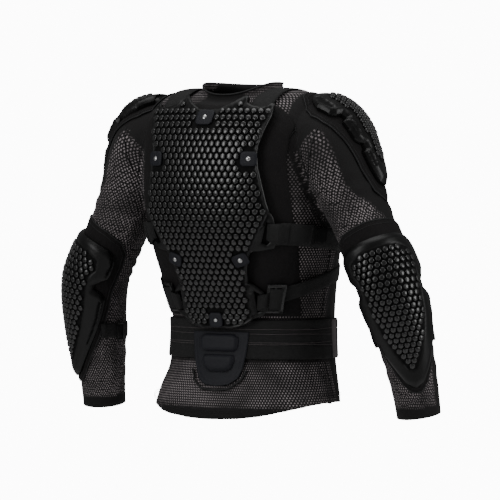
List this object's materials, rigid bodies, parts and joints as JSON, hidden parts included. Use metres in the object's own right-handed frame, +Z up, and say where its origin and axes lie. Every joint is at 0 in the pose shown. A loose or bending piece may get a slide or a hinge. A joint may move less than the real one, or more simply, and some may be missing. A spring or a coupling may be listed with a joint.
{
  "type": "chest and back protector jacket",
  "caption": "Long-sleeved protective jacket: cloth body with a studded back plate, shoulder caps, elbow guards, side straps and an elastic kidney belt.",
  "frame": {"origin": "middle of the neck opening at the height where the jacket rests on the shoulders", "axes": "+Z up, the wearer faces -Y with the back plate towards +Y, +X towards the wearer's left arm"},
  "size_m": [0.7754, 0.2965, 0.5999],
  "materials": {
    "cloth": "matt stretch mesh",
    "smooth_cloth": "smooth padded cloth",
    "plastic": "satin black",
    "navy": "matt dark navy",
    "webbing": "woven webbing",
    "metal": "satin silver"
  },
  "bodies": {
    "root": {"back_panel": "smooth_cloth", "back_plate": "plastic", "chest_plate_left": "plastic", "chest_plate_right": "plastic", "collar": "cloth", "elbow_base_left": "smooth_cloth", "elbow_base_right": "smooth_cloth", "elbow_guard_left": "plastic", "elbow_guard_right": "plastic", "forearm_buckle_left": "plastic", "forearm_buckle_right": "plastic", "forearm_strap_left": "webbing", "forearm_strap_right": "webbing", "front_zip": "plastic", "kidney_belt": "webbing", "lower_side_strap_left": "webbing", "lower_side_strap_right": "webbing", "lumbar_pad_lower": "navy", "lumbar_pad_upper": "navy", "lumbar_panel": "navy", "rivet_bottom": "metal", "rivet_lower_left": "metal", "rivet_lower_right": "metal", "rivet_top": "metal", "rivet_upper_left": "metal", "rivet_upper_right": "metal", "shoulder_base_left": "smooth_cloth", "shoulder_base_right": "smooth_cloth", "shoulder_cap_left": "plastic", "shoulder_cap_right": "plastic", "shoulder_strap_left": "webbing", "shoulder_strap_right": "webbing", "side_buckle_left": "plastic", "side_buckle_right": "plastic", "sleeve_left": "cloth", "sleeve_right": "cloth", "tab_bottom": "navy", "tab_lower_left": "navy", "tab_lower_right": "navy", "tab_top": "navy", "tab_upper_left": "navy", "tab_upper_right": "navy", "torso": "cloth", "upper_side_strap_left": "webbing", "upper_side_strap_right": "webbing"}
  },
  "joints": []
}
